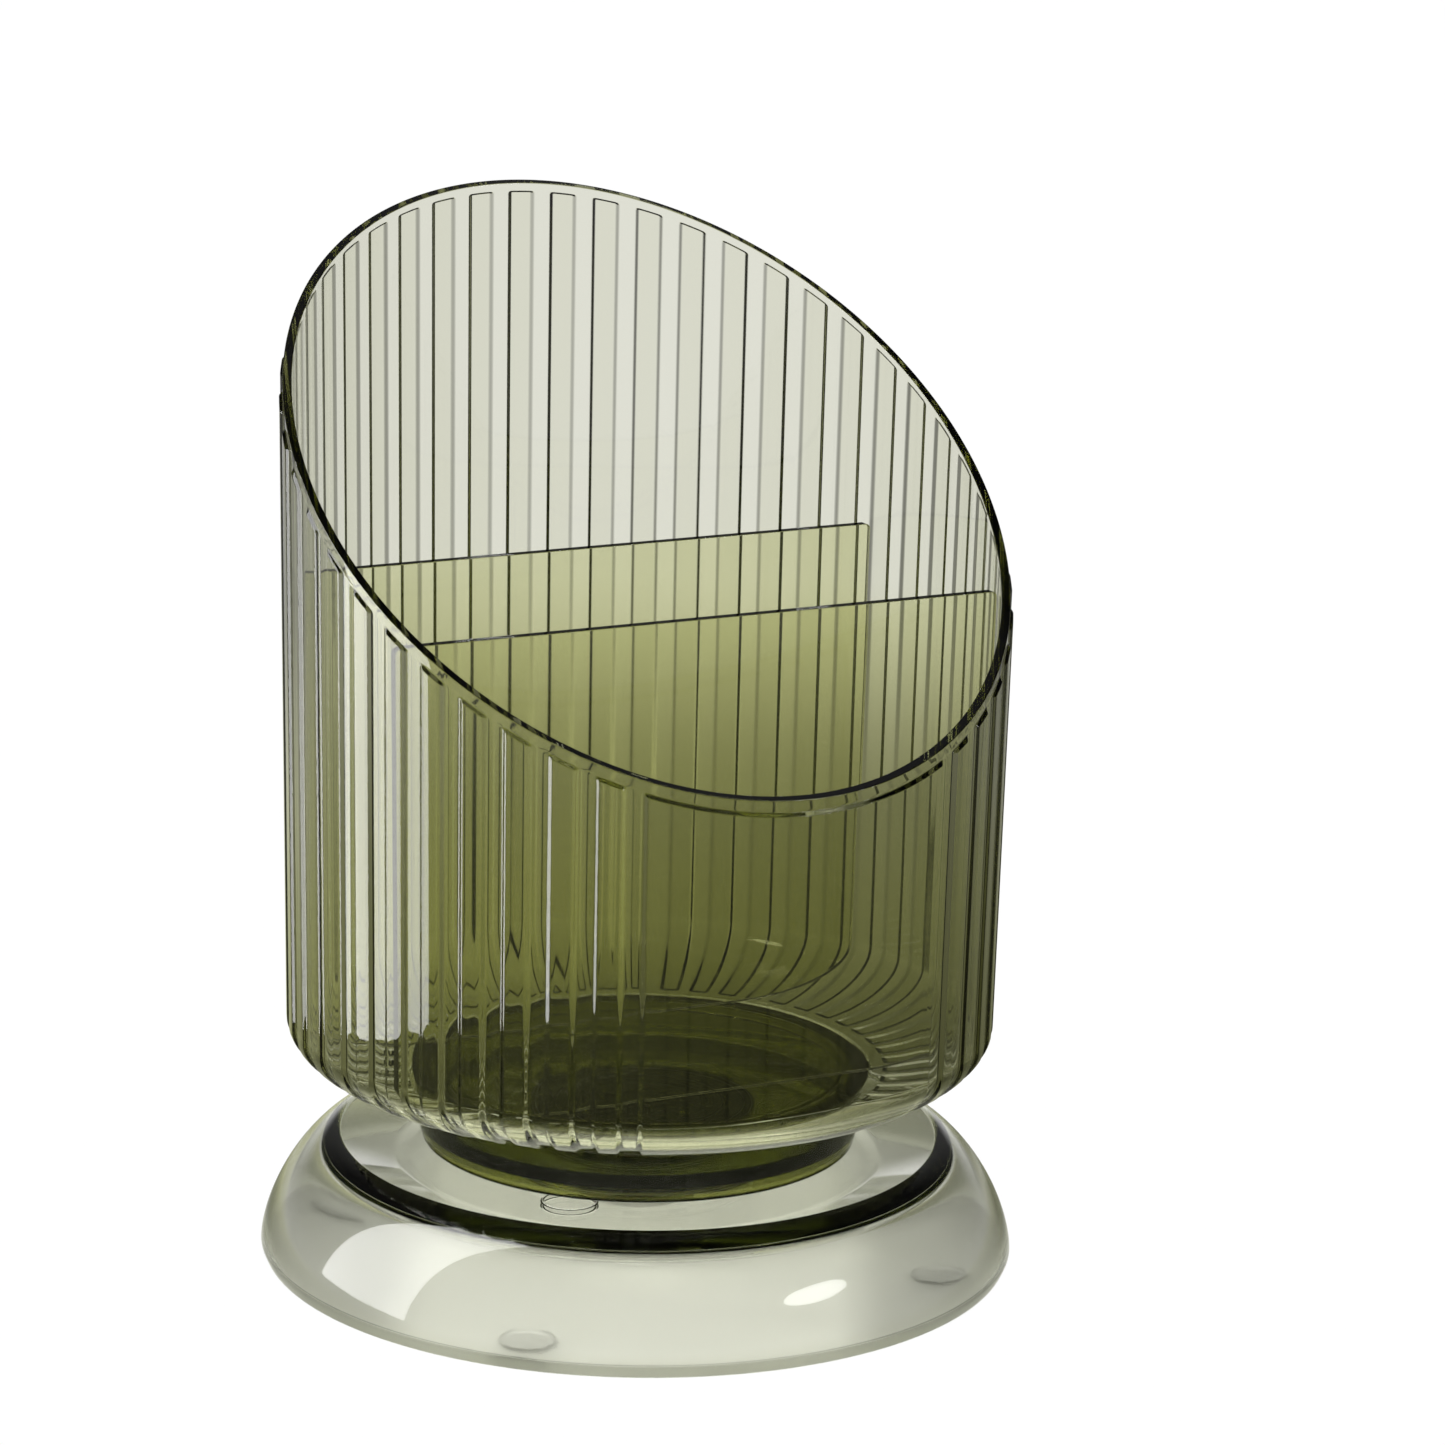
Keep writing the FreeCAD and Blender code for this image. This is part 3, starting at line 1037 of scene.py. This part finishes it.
@dataclass
class Turntable:
    """The neck under the cup, and the bearing inside it."""

    skirt_low_z: float = 18.0 * MM
    low_r: float = 32.0 * MM
    top_r: float = 33.0 * MM
    wall: float = 1.8 * MM
    web: Point = (20.0 * MM, 22.0 * MM)
    step: Point = (0.35 * MM, 1.2 * MM)
    collar: Point = (9.38 * MM, 0.8 * MM)
    post_r: float = 6.0 * MM
    pilot: Point = (2.0 * MM, 9.0 * MM)
    ring_room: float = 1.6 * MM
    soft: float = 0.25 * MM
    fine: float = 0.1 * MM
    step_round: float = 0.12 * MM
    top_round: float = 0.15 * MM
    round_steps: int = 4
    ball_count: int = 12
    ball_faces: tuple[int, int] = (32, 20)

    def build_hub(self) -> bpy.types.Object:
        """The neck moulding: skirt, web, race collar and pivot post, with small rounds on every edge.

        Returns:
            The neck.
        """
        low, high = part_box("turntable_hub")
        top_z = high.z - TOUCH_GAP
        web_low, web_high = self.web
        low_in, top_in = self.low_r - self.wall, self.top_r - self.wall
        pilot_r, pilot_deep = self.pilot
        step_r, step_z = self.low_r - self.step[0], self.skirt_low_z + self.step[1]
        collar_r, collar_z = self.collar[0], web_low - self.collar[1]
        soft, fine, top = self.soft, self.fine, self.top_round
        corners = [
            (0, low.z + pilot_deep, 0), (pilot_r, low.z + pilot_deep, 0), (pilot_r, low.z, fine),
            (self.post_r, low.z, soft), (self.post_r, collar_z, soft), (collar_r, collar_z, soft),
            (collar_r, web_low, soft), (low_in, web_low, soft), (low_in, self.skirt_low_z, soft),
            (step_r, self.skirt_low_z, soft), (step_r, step_z, fine), (self.low_r, step_z, self.step_round),
            (self.top_r, top_z, top), (top_in, top_z, top), (top_in, top_z - self.ring_room, fine),
            (low_in, web_high, soft), (0, web_high, 0)]
        return turned("turntable_neck", rounded(corners, self.round_steps))

    def ball_nodes(self, make: NodeMaker, given: Given) -> Socket:
        """Adds the nodes of one smooth ball.

        Args:
            make: The tree's node maker.
            given: The tree's inputs.

        Returns:
            The ball's mesh.
        """
        ball = make.add("GeometryNodeMeshUVSphere", {
            "Segments": self.ball_faces[0], "Rings": self.ball_faces[1], "Radius": given["Ball Radius"]})
        return make.add("GeometryNodeSetShadeSmooth", {"Geometry": ball.outputs[0]}).outputs[0]

    def build_balls(self, names: list[str], material: bpy.types.Material) -> bpy.types.Object:
        """All the bearing balls in one piece, at the nodes' own places.

        Args:
            names: The balls' nodes.
            material: Their steel.

        Returns:
            The piece.
        """
        low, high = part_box(names[0])
        middle = (low + high) / 2
        seed = mesh_object("bearing_balls", [(0, 0, 0)], [])
        tree = ring_tree("ball_ring", {"Ball Radius": "Float"}, self.ball_nodes)
        return run_tree(seed, tree, {
            "Count": len(names), "Ring Radius": Vector(middle[:2]).length, "Ring Height": middle.z,
            "First Turn": 0.0, "Ball Radius": (high.z - low.z) / 2, "Material": material})

    def make(self, groups: Groups) -> None:
        """Builds, dresses and settles the neck and the bearing.

        Args:
            groups: The shader groups that the finishes share.
        """
        settle(self.build_hub(), HUB_PLASTIC.make(groups), Body.CUP, ["turntable_hub"])
        names = [f"bearing_ball_{i:02d}" for i in range(1, self.ball_count + 1)]
        steel = BALL_STEEL.make(groups)
        settle(self.build_balls(names, steel), steel, Body.CAGE, names)
        race = RACE_STEEL.make(groups)
        plated = PLATED_STEEL.make(groups)
        nylon = NATURAL_NYLON.make(groups)
        kept = {"upper_race": race, "lower_race": race, "keeper_washer": plated, "centre_screw": plated,
                "ball_cage": nylon, "slip_washer": nylon}
        for name, finish in kept.items():
            dress(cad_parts[name], finish)
            LOG.info("%s keeps its own solid", name)


# ---- base -------------------------------------------------------------------------------------

@dataclass
class DomedBase:
    """The hollow clear dome, its bottom cover and the non-slip pads."""

    largest_r: float = 55.0 * MM
    low_z: float = 2.0 * MM
    crest_r: float = 43.5 * MM
    crest_z: float = 18.3 * MM
    power: float = 1.55
    wall: float = 3.0 * MM
    foot_wall: float = 1.2 * MM
    crest_shift: float = 1.5 * MM
    deck_r: float = 34.8 * MM
    deck_z: float = 14.8 * MM
    lip: float = 1.0 * MM
    seat_deep: float = 0.5 * MM
    collar: Point = (9.38 * MM, 0.8 * MM)
    hole_r: float = 6.08 * MM
    boss_r: float = 9.08 * MM
    boss_z: float = 9.0 * MM
    foot_rounds: Point = (0.12 * MM, 0.2 * MM)
    crest_round: float = 0.9 * MM
    deck_round: float = 1.2 * MM
    boss_round: float = 0.6 * MM
    soft: float = 0.3 * MM
    cover_round: float = 0.25 * MM
    pad_rounds: Point = (0.3 * MM, 0.15 * MM)
    round_steps: int = 4
    top_steps: int = 6
    pad_count: int = 4
    dome_spans: int = 28
    dome_faces: int = 192
    cover_faces: int = 160
    pad_faces: int = 40

    def dome(self, wide_r: float, low_z: float, top_r: float, top_z: float) -> list[Point]:
        """Side of the dome.

        Args:
            wide_r: Its largest radius.
            low_z: Height of its largest radius.
            top_r: Radius of its crest.
            top_z: Height of its crest.

        Returns:
            Points from the largest radius up to the crest.
        """
        wide, high = wide_r - top_r, top_z - low_z
        power = 2 / self.power
        turns = [math.pi / 2 * i / self.dome_spans for i in range(self.dome_spans)]
        side = [(top_r + wide * math.cos(t) ** power, low_z + high * math.sin(t) ** power) for t in turns]
        return side + [(top_r, top_z)]

    def build_shell(self) -> bpy.types.Object:
        """The hollow dome with its crest, sunk deck and boss, every edge softly rounded.

        Returns:
            The dome.
        """
        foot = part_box("base_shell")[0].z
        seat_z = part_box("bottom_cover")[1].z
        seat_r = self.largest_r - self.lip
        outer = self.dome(self.largest_r, self.low_z, self.crest_r, self.crest_z)
        inner = self.dome(self.largest_r - self.foot_wall, seat_z, self.crest_r + self.crest_shift,
                          self.crest_z - self.wall)
        deck_low = self.deck_z - self.wall
        soft = self.soft
        collar_r, collar_z = self.collar[0], self.deck_z + self.collar[1]
        rim = rounded([
            (seat_r, foot + self.seat_deep, 0), (seat_r, foot, self.foot_rounds[0]),
            (self.largest_r - self.lip / 2, foot, self.foot_rounds[1]), outer[0] + (0,)], self.round_steps)
        top = rounded([
            outer[-2] + (0,), outer[-1] + (self.crest_round,), (self.deck_r, self.deck_z, self.deck_round),
            (collar_r, self.deck_z, soft), (collar_r, collar_z, soft), (self.hole_r, collar_z, soft),
            (self.hole_r, self.boss_z, soft), (self.boss_r, self.boss_z, soft),
            (self.boss_r, deck_low, self.boss_round), (self.deck_r, deck_low, self.deck_round),
            inner[-1] + (self.crest_round,), inner[-2] + (0,)], self.top_steps)
        section = rim + outer[1:-2] + top + inner[-3::-1] + [(seat_r, seat_z)]
        return turned("base_dome", section, self.dome_faces)

    def build_cover(self) -> bpy.types.Object:
        """The disc under the base, with a finger-soft edge.

        Returns:
            The cover.
        """
        low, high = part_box("bottom_cover")
        top_z, soft = high.z - TOUCH_GAP, self.cover_round
        corners = [(0, low.z, 0), (high.x, low.z, soft), (high.x, top_z, soft), (0, top_z, 0)]
        return turned("underside_cover", rounded(corners, self.round_steps), self.cover_faces)

    def build_pads(self, names: list[str], material: bpy.types.Material) -> bpy.types.Object:
        """The pads as low rounded buttons, at the nodes' own places.

        Args:
            names: The pads' nodes.
            material: Their silicone.

        Returns:
            The piece.
        """
        low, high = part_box(names[0])
        middle = (low + high) / 2
        r = (high.x - low.x) / 2
        under, upper = self.pad_rounds
        corners = [(0, low.z, 0), (r, low.z, under), (r, high.z, upper), (0, high.z, 0)]
        pad = turned("foot_pads", rounded(corners, self.round_steps), self.pad_faces)
        tree = ring_tree("pad_ring", {}, lambda make, given: given["Geometry"])
        pads = run_tree(pad, tree, {
            "Count": len(names), "Ring Radius": Vector(middle[:2]).length, "Ring Height": 0.0,
            "First Turn": math.atan2(middle.y, middle.x), "Material": material})
        close_up(pads)
        return pads

    def make(self, groups: Groups) -> None:
        """Builds, dresses and settles the base.

        Args:
            groups: The shader groups that the finishes share.
        """
        settle(self.build_shell(), BASE_PLASTIC.make(groups), Body.BASE, ["base_shell"])
        settle(self.build_cover(), COVER_PLASTIC.make(groups), Body.BASE, ["bottom_cover"])
        names = [f"foot_pad_{i}" for i in range(1, self.pad_count + 1)]
        rubber = SILICONE.make(groups)
        settle(self.build_pads(names, rubber), rubber, Body.BASE, names)


# ---- studio -----------------------------------------------------------------------------------

class LampShape(Enum):
    """Outlines of a lamp's face."""

    CARD = "RECTANGLE"
    ROUND = "ELLIPSE"


@dataclass(frozen=True)
class SoftBox:
    """A lamp that reflections show and the camera doesn't.

    Its place is given as right of the axis, behind it and above the table, seen from the camera's
    side. turn_deg and tilt_deg say where it shines from: 0 is the camera's side, positive is from the
    right and from above. Its glow is against 1 for the white backdrop.
    """

    name: str
    shape: LampShape
    place: Triple
    size: Point
    turn_deg: float
    tilt_deg: float
    glow: float
    spread: float = math.pi

    def hang(self, azimuth: float) -> None:
        """Adds the lamp to the scene.

        Args:
            azimuth: The camera's compass direction.
        """
        data = bpy.data.lights.new(self.name, "AREA")
        data.shape = self.shape.value
        data.size, data.size_y = self.size
        data.spread = self.spread
        data.energy = self.glow * math.pi * self.size[0] * self.size[1]
        turn, tilt = math.radians(self.turn_deg), math.radians(self.tilt_deg)
        facing = Vector((math.sin(turn) * math.cos(tilt), -math.cos(turn) * math.cos(tilt), math.sin(tilt)))
        lamp = bpy.data.objects.new(self.name, data)
        stand = Matrix.Translation(Vector(self.place)) @ facing.to_track_quat("Z", "Y").to_matrix().to_4x4()
        lamp.matrix_world = Matrix.Rotation(azimuth, 4, "Z") @ stand
        lamp.visible_camera = False
        lamp.visible_transmission = False
        bpy.context.scene.collection.objects.link(lamp)


@dataclass
class Studio:
    """A floor that looks plain and white but is painted with light and shadow for what shines through the
    plastic; soft light from the sides; and the camera.

    The zones give brightness by compass direction, in degrees from 0 straight behind the object to
    +180 through its right side. The room's zones light the object; the table's zones are painted shadow on
    the floor.
    """

    azimuth: float = math.radians(-27.3)
    elevation: float = math.radians(14.462)
    roll: float = math.radians(1.33)
    distance: float = 762.71 * MM
    slide_right: float = -12.819 * MM
    slide_down: float = 77.144 * MM
    sensor: float = 36.0
    lens: float = 128.84
    nearest: float = 10.0 * MM
    floor_r: float = 6.0
    floor_sides: int = 96
    floor_drop: float = 0.02 * MM
    floor_grain: Point = (300.0, 0.01)
    overhead: float = 0.12
    overhead_from: Point = (0.03, 0.2)
    bounces: int = 20
    gloss_bounces: int = 8
    room_zones: tuple[Point, ...] = (
        (-180, 0.4), (-100, 0.15), (-35, 0.3), (-15, 1.0), (15, 1.0), (35, 0.2), (100, 0.12), (180, 0.4))
    # painted shadow on the table round the base, by compass direction: lit to the left, dark behind and to
    # the right, as if the left lamp cast it
    table_zones: tuple[Point, ...] = (
        (-180, 0.15), (-120, 0.25), (-90, 0.3), (-60, 0.5), (-32, 0.9), (-14, 0.7), (0, 0.5), (40, 0.28),
        (90, 0.18), (140, 0.12), (180, 0.15))
    # painted shade on the far table: bright only straight behind, dark to the sides
    far_zones: tuple[Point, ...] = (
        (-180, 0.5), (-100, 0.5), (-30, 0.4), (-13, 1.0), (13, 1.0), (28, 0.25), (100, 0.35), (180, 0.5))
    far_from: float = 0.25
    # painted shade under the base: dimmer to its left and right, which darkens the dome's flanks
    painted_flank_shade: tuple[Point, ...] = ((0.0, 1.0), (0.029, 1.0), (0.036, 0.62), (0.06, 0.5))
    zone_reach: tuple[Point, ...] = ((0.0, 0.0), (0.058, 0.0), (0.085, 1.0), (0.45, 1.0))
    # painted light and shadow by distance: a painted pool of light under the base, then the cup's painted
    # green shadow round it, fading to pale further out
    shade: tuple[tuple[float, Colour], ...] = (
        (0.0, (1.65, 1.66, 1.50)), (0.046, (1.65, 1.66, 1.50)), (0.056, (1.3, 1.31, 1.15)),
        (0.066, (0.4, 0.41, 0.30)), (0.12, (0.62, 0.63, 0.36)), (0.18, (0.75, 0.76, 0.48)),
        (0.33, (0.88, 0.88, 0.76)), (0.45, (0.93, 0.93, 0.92)))
    lamps: tuple[SoftBox, ...] = (
        SoftBox("left_card", LampShape.CARD, (-0.130, -0.042, 0.16), (0.075, 0.30), -90, 0, 5.5),
        SoftBox("right_lamp", LampShape.ROUND, (0.40, -0.23, 0.26), (0.19, 0.08), 60, 28, 5.5))

    def camera(self) -> None:
        """Places the camera by its tilt, its roll and where the object sits in its view."""
        se, ce = math.sin(self.elevation), math.cos(self.elevation)
        sr, cr = math.sin(self.roll), math.cos(self.roll)
        right = Vector((cr, sr * se, sr * ce))
        down = Vector((sr, -cr * se, -cr * ce))
        ahead = Vector((0, ce, -se))
        place = -(self.slide_right * right + self.slide_down * down + self.distance * ahead)
        axes = Matrix((right, -down, -ahead)).transposed().to_4x4()
        turn = Matrix.Rotation(self.azimuth, 4, "Z")
        data = bpy.data.cameras.new("camera")
        data.sensor_width = self.sensor
        data.lens = self.lens
        data.clip_start = self.nearest
        camera = bpy.data.objects.new("camera", data)
        camera.matrix_world = turn @ Matrix.Translation(place) @ axes
        bpy.context.scene.collection.objects.link(camera)
        bpy.context.scene.camera = camera

    def seen_from_camera_side(self, make: NodeMaker, place: Socket) -> Given:
        """Turns a place to the camera's side and splits it.

        Args:
            make: The tree's node maker.
            place: The place or direction.

        Returns:
            Its three parts: right of the axis, behind it and above the table.
        """
        turn = make.add("ShaderNodeVectorRotate", {"Vector": place, "Angle": -self.azimuth},
                        rotation_type="Z_AXIS")
        return make.add("ShaderNodeSeparateXYZ", {0: turn.outputs[0]}).outputs

    def zone_group(self, name: str, zones: tuple[Point, ...]) -> bpy.types.NodeTree:
        """Brightness by compass direction: light for the world, painted shadow for the floor.

        Args:
            name: The group's name.
            zones: The zones.

        Returns:
            A group that turns a direction into a brightness.
        """
        tree, make, given, result = new_group(
            name, TreeKind.SHADER, {"Direction": "Vector"}, {"Brightness": "Float"})
        right, behind, _ = self.seen_from_camera_side(make, given[0])
        angle = make.math("ADD", make.math("ARCTAN2", right, behind), math.pi)
        stops = tuple((math.radians(degrees + 180), level) for degrees, level in zones)
        make.feed(make.ramp(angle, 2 * math.pi, stops), result[0])
        return tree

    def painted_floor_light(self, make: NodeMaker) -> Socket:
        """Painted light and shadow on the table, as the plastic shows it: a painted pool of light under the
        base, dimmer at its flanks, and a painted green shadow round it.

        Args:
            make: The floor material's node maker.

        Returns:
            The colour's socket.
        """
        place = make.object_place()
        away = make.vector("LENGTH", place).outputs["Value"]
        edge = self.shade[-1][0]
        # painted pool of light under the base and painted green shadow of the cup round it
        shade = make.ramp(away, edge, self.shade)
        reach = make.ramp(away, edge, self.zone_reach)
        beyond = make.add("ShaderNodeMapRange", {
            "Value": away, "From Min": self.far_from, "From Max": edge}, interpolation_type="SMOOTHSTEP")
        zones = {"Factor": beyond.outputs[0]}
        # painted shadow by compass direction, near the base and far from it
        for socket, name in (("A", "table_zones"), ("B", "far_zones")):
            group = self.zone_group(name, getattr(self, name))
            zones[socket] = make.add("ShaderNodeGroup", {0: place}, node_tree=group).outputs[0]
        zone = make.add("ShaderNodeMix", zones, data_type="FLOAT")
        painted_light_and_shadow = make.add("ShaderNodeMix", {"Factor": reach, "A": shade, "B": zone.outputs["Result"]},
                       data_type="RGBA", blend_type="MULTIPLY")
        # painted shade on the flanks under the base
        across = make.math("ABSOLUTE", self.seen_from_camera_side(make, place)[0])
        flank_shade = make.ramp(across, self.painted_flank_shade[-1][0], self.painted_flank_shade)
        under = make.add("ShaderNodeMix", {
            "Factor": make.math("SUBTRACT", 1.0, reach), "A": painted_light_and_shadow.outputs["Result"], "B": flank_shade},
            data_type="RGBA", blend_type="MULTIPLY")
        return under.outputs["Result"]

    def floor(self) -> None:
        """A wide glowing table, white to look at, and painted with light and shadow for all else."""
        turns = [2 * math.pi * i / self.floor_sides for i in range(self.floor_sides)]
        points = [(self.floor_r * math.cos(t), self.floor_r * math.sin(t), -self.floor_drop) for t in turns]
        floor = mesh_object("floor", points, [tuple(range(self.floor_sides))])
        material = bpy.data.materials.new("pale_floor")
        material.use_nodes = True
        material.node_tree.nodes.clear()
        make = NodeMaker(material.node_tree)
        # the floor's painted light and shadow, for reflections and for what shines through
        glow = self.painted_floor_light(make)
        scale, lift = self.floor_grain
        grain = make.add("ShaderNodeTexNoise", {"Vector": make.object_place(), "Scale": scale})
        level = make.add("ShaderNodeMapRange", {
            "Value": grain.outputs[0], "To Min": 1.0, "To Max": 1.0 + lift})
        look = make.white_to_look_at("ShaderNodeEmission", glow, level.outputs[0])
        make.add("ShaderNodeOutputMaterial", {"Surface": look})
        floor.data.materials.append(material)

    def world(self) -> None:
        """White to look at. Round the object it is pale ahead and behind, and dimmer elsewhere."""
        world = bpy.data.worlds.new("studio")
        bpy.context.scene.world = world
        world.use_nodes = True
        world.node_tree.nodes.clear()
        make = NodeMaker(world.node_tree)
        direction = make.add("ShaderNodeTexCoord").outputs["Generated"]
        height = make.add("ShaderNodeSeparateXYZ", {0: direction}).outputs[2]
        fade = make.add("ShaderNodeMapRange", {
            "Value": height, "From Min": self.overhead_from[0], "From Max": self.overhead_from[1],
            "To Min": 1.0, "To Max": self.overhead}, interpolation_type="SMOOTHSTEP")
        group = self.zone_group("room_zones", self.room_zones)
        zone = make.add("ShaderNodeGroup", {0: direction}, node_tree=group)
        glow = make.math("MULTIPLY", zone.outputs[0], fade.outputs[0])
        look = make.white_to_look_at("ShaderNodeBackground", glow)
        make.add("ShaderNodeOutputWorld", {"Surface": look})

    def make(self) -> None:
        """Sets up the whole studio."""
        scene = bpy.context.scene
        scene.view_settings.view_transform = "Standard"
        scene.cycles.max_bounces = self.bounces
        scene.cycles.transmission_bounces = self.bounces
        scene.cycles.glossy_bounces = self.gloss_bounces
        self.camera()
        self.floor()
        self.world()
        for lamp in self.lamps:
            lamp.hang(self.azimuth)


def main() -> None:
    """Builds the pieces in order."""
    logging.basicConfig(level=logging.INFO, format="%(name)s: %(message)s")
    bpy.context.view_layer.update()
    groups = Groups(moulding=MouldedSurface().tree(), turning=TurningMarks().tree())
    PenCup().make(groups)
    Turntable().make(groups)
    DomedBase().make(groups)
    Studio().make()


if __name__ == "__main__":
    main()
